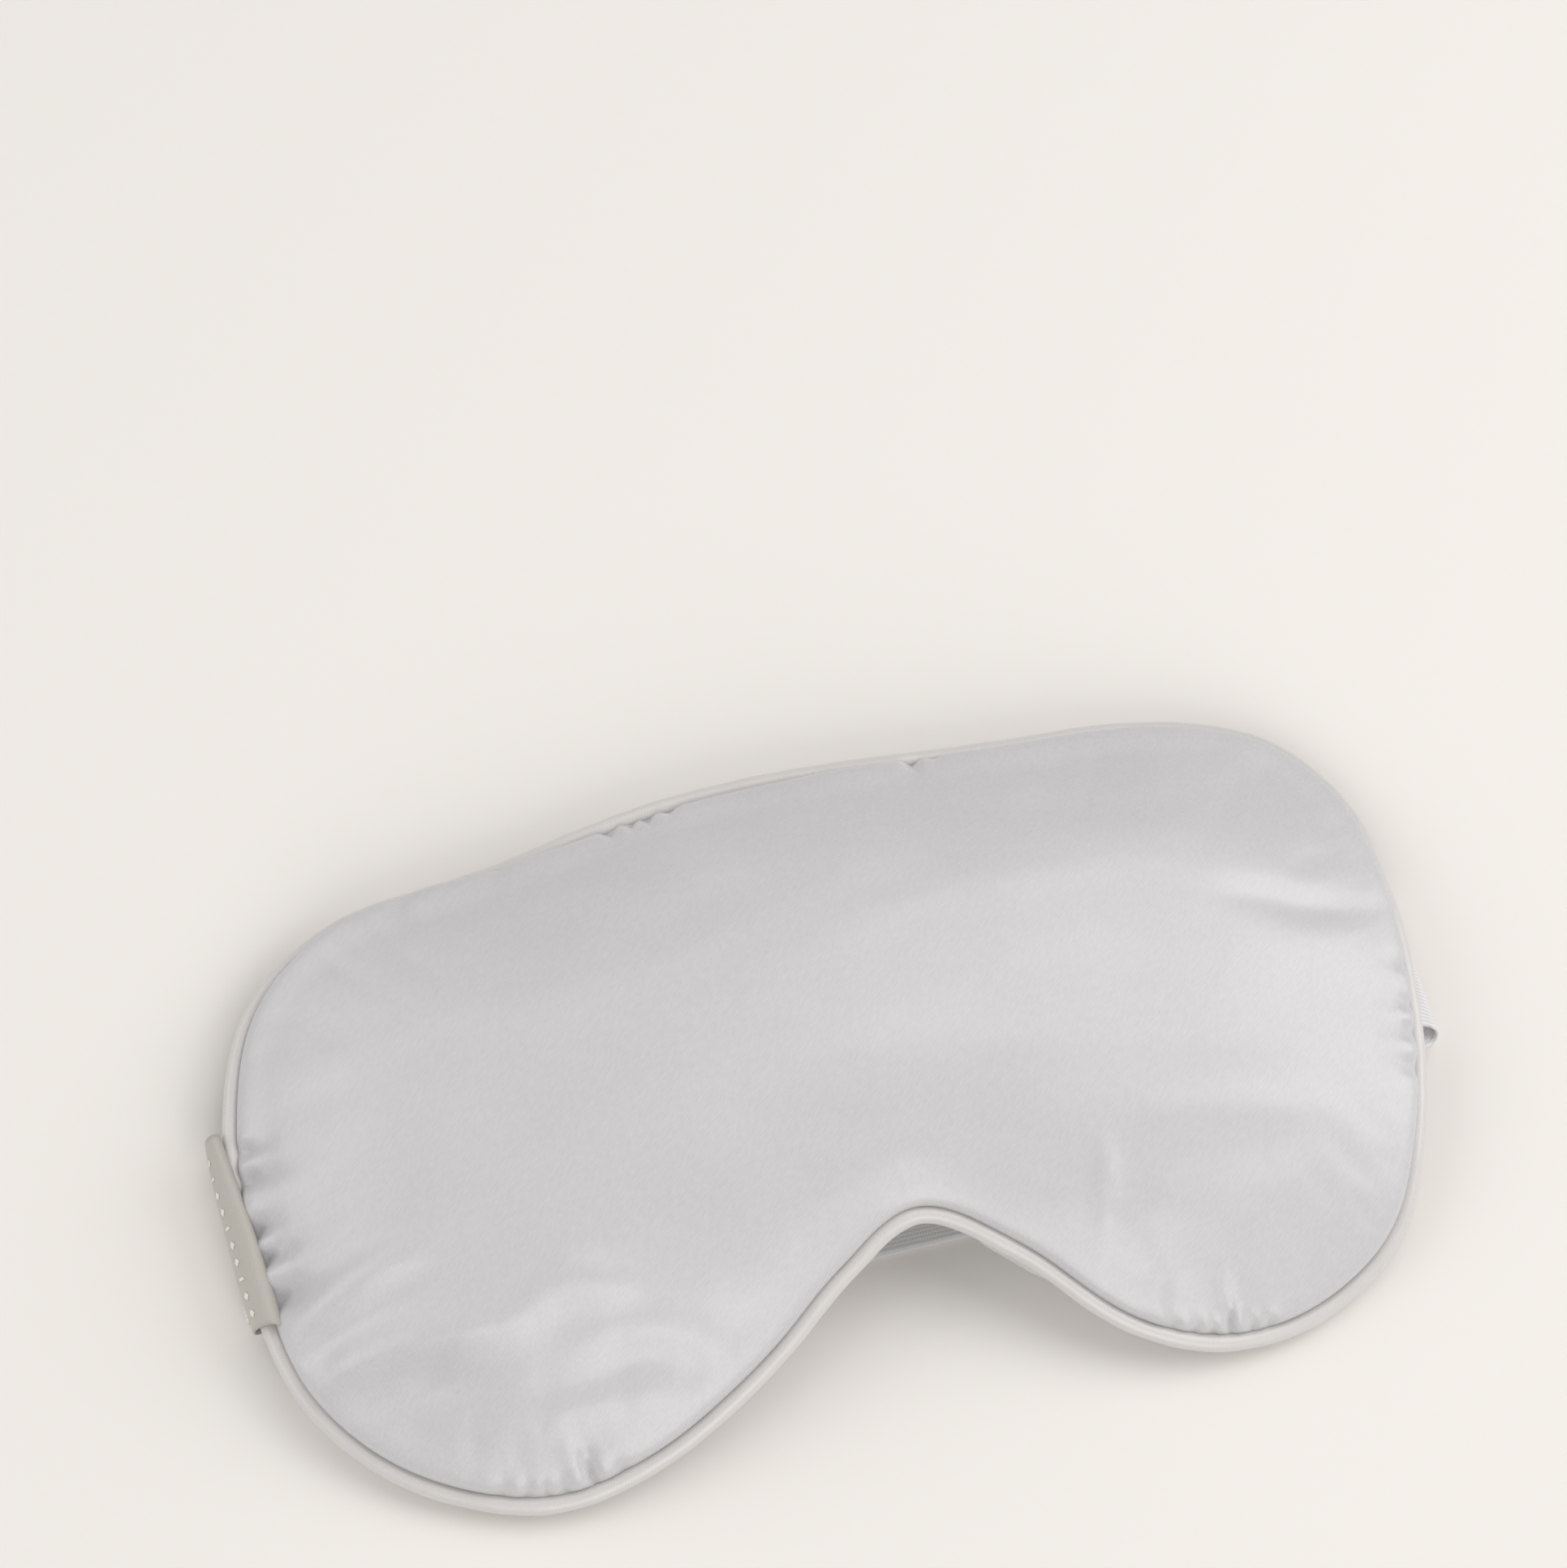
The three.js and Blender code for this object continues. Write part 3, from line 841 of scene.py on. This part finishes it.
def side_label():
    """The ribbon itself: the outside, an inside one thickness in, and closed ends."""
    rows, columns = 33, 41
    u, v = np.linspace(0, 1, columns), np.linspace(0, 1, rows)
    outside = np.array([[label_point(a, b) for a in u] for b in v])
    du, dv = np.gradient(outside, axis=1), np.gradient(outside, axis=0)
    normal = np.cross(dv, du)
    normal /= np.linalg.norm(normal, axis=2)[..., None]
    if normal[rows // 2, columns // 2, 0] > 0:
        normal = -normal
    inside = outside - normal * LABEL_THICK * MM
    closed = np.concatenate([outside, inside[:, ::-1]], axis=1)
    width = np.concatenate([u, u[::-1]]) * LABEL_GIRTH
    uvs = np.stack(np.broadcast_arrays(width[None], (v * LABEL_LENGTH)[:, None]), -1)
    faces = tube_faces(rows, 2 * columns)
    for row in (0, rows - 1):
        first = row * 2 * columns
        last = first + 2 * columns - 1
        for j in range(columns - 1):
            quad = (first + j, first + j + 1, last - j - 1, last - j)
            faces.append(quad if row else quad[::-1])
    return new_object("side_label_ribbon", closed.reshape(-1, 3), faces, LABEL,
                      uvs.reshape(-1, 2))


def label_marks():
    """A row of plain woven lozenges and bars down the label's outer face."""
    verts, faces = [], []
    steps = 6
    proud = np.array([-0.06, 0, 0.05]) * MM
    for k, middle in enumerate(np.linspace(FIRST_MARK, LAST_MARK, MARKS)):
        is_bar = k % 3 == 1
        base = len(verts)
        for i in range(steps + 1):
            t = i / steps
            half = 0.008 if is_bar else 0.003 + 0.02 * (1 - abs(2 * t - 1))
            across = 0.37 + 0.08 * t
            verts += [label_point(across, middle - half) + proud,
                      label_point(across, middle + half) + proud]
        faces += [(base + 2 * i, base + 2 * i + 1, base + 2 * i + 3, base + 2 * i + 2)
                  for i in range(steps)]
    return new_object("side_label_marks", verts, faces, MARK_THREAD)


# ------------------------------------------------------------------ pieces on their bodies

face = padded_panel("face_panel", 1, FACE_RISE, SHOULDER, 0.2, SATIN, FACE_CAP)
back = padded_panel("back_panel_satin", -1, BACK_DROP, BACK_SHOULDER, -0.6, BACK_SATIN, BACK_CAP)
pipe = edge_tube("piping", PIPING_RADIUS, PIPING_SATIN)
cord = edge_tube("piping_cord_cotton", CORD_RADIUS, CORD_COTTON, 10)
wadding = inner_layer("face_wadding", 8.0, (1.0, 3.2), (0.6, 0.0), WADDING)
liner = inner_layer("blackout_layer", 1.0, (0.35, 0.0), (-0.05, 0.0), BLACKOUT)
foam = inner_layer("back_foam_sheet", 4.0, (-0.2, 0.0), (-0.6, -1.2), FOAM)
label = side_label()
marks = label_marks()
for piece, slot, node in (
    (face, "satin", "front_panel"), (back, "satin", "back_panel"),
    (wadding, "wadding", "front_wadding"), (liner, "blackout_cloth", "blackout_liner"),
    (foam, "foam", "back_foam"), (pipe, "piping_satin", "piping_cover"),
    (cord, "cotton_cord", "piping_cord"), (label, "woven_label", "side_label"),
    (marks, "woven_label", None),
):
    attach(piece, "mask")
    if node:
        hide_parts(node)
for side, suffix in ((-1, "left"), (1, "right")):
    strap(side, suffix)

# ------------------------------------------------------------------ floor, light and camera


def studio():
    """A plain pale floor, a dim even sky and five softboxes."""
    s = Shader("floor_paint", Roughness=0.75)
    s.set(s.bsdf, {"Base Color": rgb(238, 234, 229)})
    half = 3.0  # metres
    floor = new_object(
        "floor", [(-half, -half, 0), (half, -half, 0), (half, half, 0), (-half, half, 0)],
        [(0, 1, 2, 3)], s.material,
    )

    world = bpy.data.worlds.new("studio")
    world.use_nodes = True
    sky = world.node_tree.nodes["Background"]
    sky.inputs["Color"].default_value = (1.0, 0.985, 0.97, 1)
    sky.inputs["Strength"].default_value = 0.3
    bpy.context.scene.world = world
    softbox("right", 0, 35, 6.7)
    softbox("front", -90, 35, 6.2)
    softbox("left", 180, 35, 3.2)
    softbox("far_right", 45, 60, 3.7)
    softbox("far_left", 135, 35, 2.8)


def softbox(name, azimuth, elevation, watts):
    """A square area light that faces the mask; its azimuth is turned from +X."""
    size, distance = 0.9, 1.3  # metres
    a, e = math.radians(azimuth), math.radians(elevation)
    away = Vector((math.cos(a) * math.cos(e), math.sin(a) * math.cos(e), math.sin(e)))
    data = bpy.data.lights.new(name, "AREA")
    data.size, data.energy = size, watts
    lamp = bpy.data.objects.new(name, data)
    lamp.location = away * distance
    lamp.rotation_euler = away.to_track_quat("Z", "Y").to_euler()
    bpy.context.collection.objects.link(lamp)


def camera():
    """A 67 mm lens that looks 66 degrees down, from a little to the label's side."""
    data = bpy.data.cameras.new("camera")
    data.lens, data.sensor_width, data.clip_start = 67.1, 36.0, 0.01
    cam = bpy.data.objects.new("camera", data)
    elevation, azimuth = math.radians(66.09), math.radians(-13.58)
    back = Vector((math.sin(azimuth) * math.cos(elevation),
                   -math.cos(azimuth) * math.cos(elevation), math.sin(elevation)))
    cam.rotation_euler = back.to_track_quat("Z", "Y").to_euler()
    cam.location = (-0.04475, -0.15076, 0.49284)
    bpy.context.collection.objects.link(cam)
    bpy.context.scene.camera = cam


studio()
camera()
bpy.context.scene.view_settings.view_transform = "Standard"
